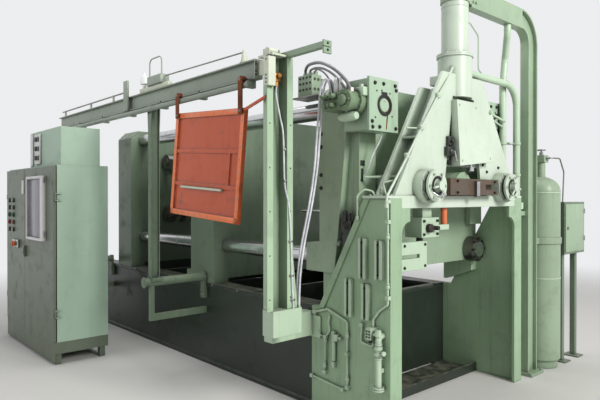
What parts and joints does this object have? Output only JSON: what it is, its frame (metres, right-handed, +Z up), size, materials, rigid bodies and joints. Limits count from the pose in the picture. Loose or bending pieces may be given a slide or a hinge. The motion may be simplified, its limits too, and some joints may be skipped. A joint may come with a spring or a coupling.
{
  "type": "die casting machine",
  "caption": "Cold chamber die casting machine with a long bed, tie bars and toggle, a tower over the shot end, a sliding guard door and a control cabinet.",
  "frame": {"origin": "on the floor, on the machine's centreline, straight under the die face of the fixed platen", "axes": "+X along the machine towards the shot end, +Y towards the rear, away from the guard door, +Z up"},
  "size_m": [5.57, 4.305, 3.76],
  "materials": {
    "reseda_paint": "semi-gloss paint, worn and dusty",
    "pale_paint": "semi-gloss paint, worn and dusty",
    "bed_paint": "semi-gloss paint, oily",
    "cabinet_paint": "satin paint, dusty",
    "orange_paint": "gloss paint, scratched and rusty",
    "bare_steel": "ground, oily",
    "chromed_steel": "polished",
    "brown_steel": "bare, rust-brown",
    "pale_housing": "satin, dusty",
    "grey_hose": "satin",
    "window_frame": "satin"
  },
  "bodies": {
    "machine": {"bed_front_beam": "bed_paint", "bed_rear_beam": "bed_paint", "bed_cross_members": "bed_paint", "fixed_platen": "reseda_paint", "moving_platen": "reseda_paint", "end_platen": "reseda_paint", "tie_bars": "chromed_steel", "tie_bar_nuts": "bare_steel", "toggle_links": "bare_steel", "toggle_crosshead": "bare_steel", "closing_cylinder": "reseda_paint", "side_wall_front": "reseda_paint", "side_wall_rear": "reseda_paint", "wall_channels": "pale_paint", "portal_beam": "reseda_paint", "tower_leg_front": "pale_paint", "tower_leg_rear": "pale_paint", "tower_head": "pale_paint", "accumulator_tube": "pale_paint", "crosshead_block": "brown_steel", "side_cylinder_front": "pale_paint", "side_cylinder_rear": "pale_paint", "shot_cylinder": "reseda_paint", "valve_cover": "pale_paint", "shot_valves": "reseda_paint", "gooseneck_post": "reseda_paint", "pressure_pipes": "pale_paint", "gas_bottle": "pale_paint", "gas_panel": "reseda_paint", "drain_pipe": "pale_paint", "small_pipes": "pale_paint", "tie_bar_pullers": "pale_paint", "puller_motor": "pale_paint", "guard_post": "pale_paint", "guard_post_foot": "pale_paint", "guard_post_head": "pale_housing", "guard_head_beam": "reseda_paint", "rail_beam": "reseda_paint", "door_track": "bare_steel", "flared_posts": "reseda_paint", "outriggers": "reseda_paint", "cabinet_back": "cabinet_paint", "cabinet_sides": "cabinet_paint", "cabinet_top": "cabinet_paint", "cabinet_plinth": "cabinet_paint", "cabinet_top_box": "cabinet_paint", "service_hose_a": "grey_hose", "service_hose_b": "grey_hose"},
    "guard_door": {"guard_door": "orange_paint", "door_hangers": "brown_steel"},
    "cabinet_door_left": {"cabinet_door_left": "cabinet_paint"},
    "cabinet_door_right": {"cabinet_door_right": "cabinet_paint", "cabinet_window": "window_frame"}
  },
  "joints": [
    {"name": "guard_door_slide", "type": "slide", "parent": "machine", "child": "guard_door", "axis": [-1, 0, 0], "range_m": [0, 1.3]},
    {"name": "cabinet_left_hinge", "type": "hinge", "parent": "machine", "child": "cabinet_door_left", "pos_m": [-4.184, -2.068, 1], "axis": [0, 0, -1], "range_deg": [0, 110]},
    {"name": "cabinet_right_hinge", "type": "hinge", "parent": "machine", "child": "cabinet_door_right", "pos_m": [-2.516, -2.068, 1], "axis": [0, 0, 1], "range_deg": [0, 110]}
  ]
}
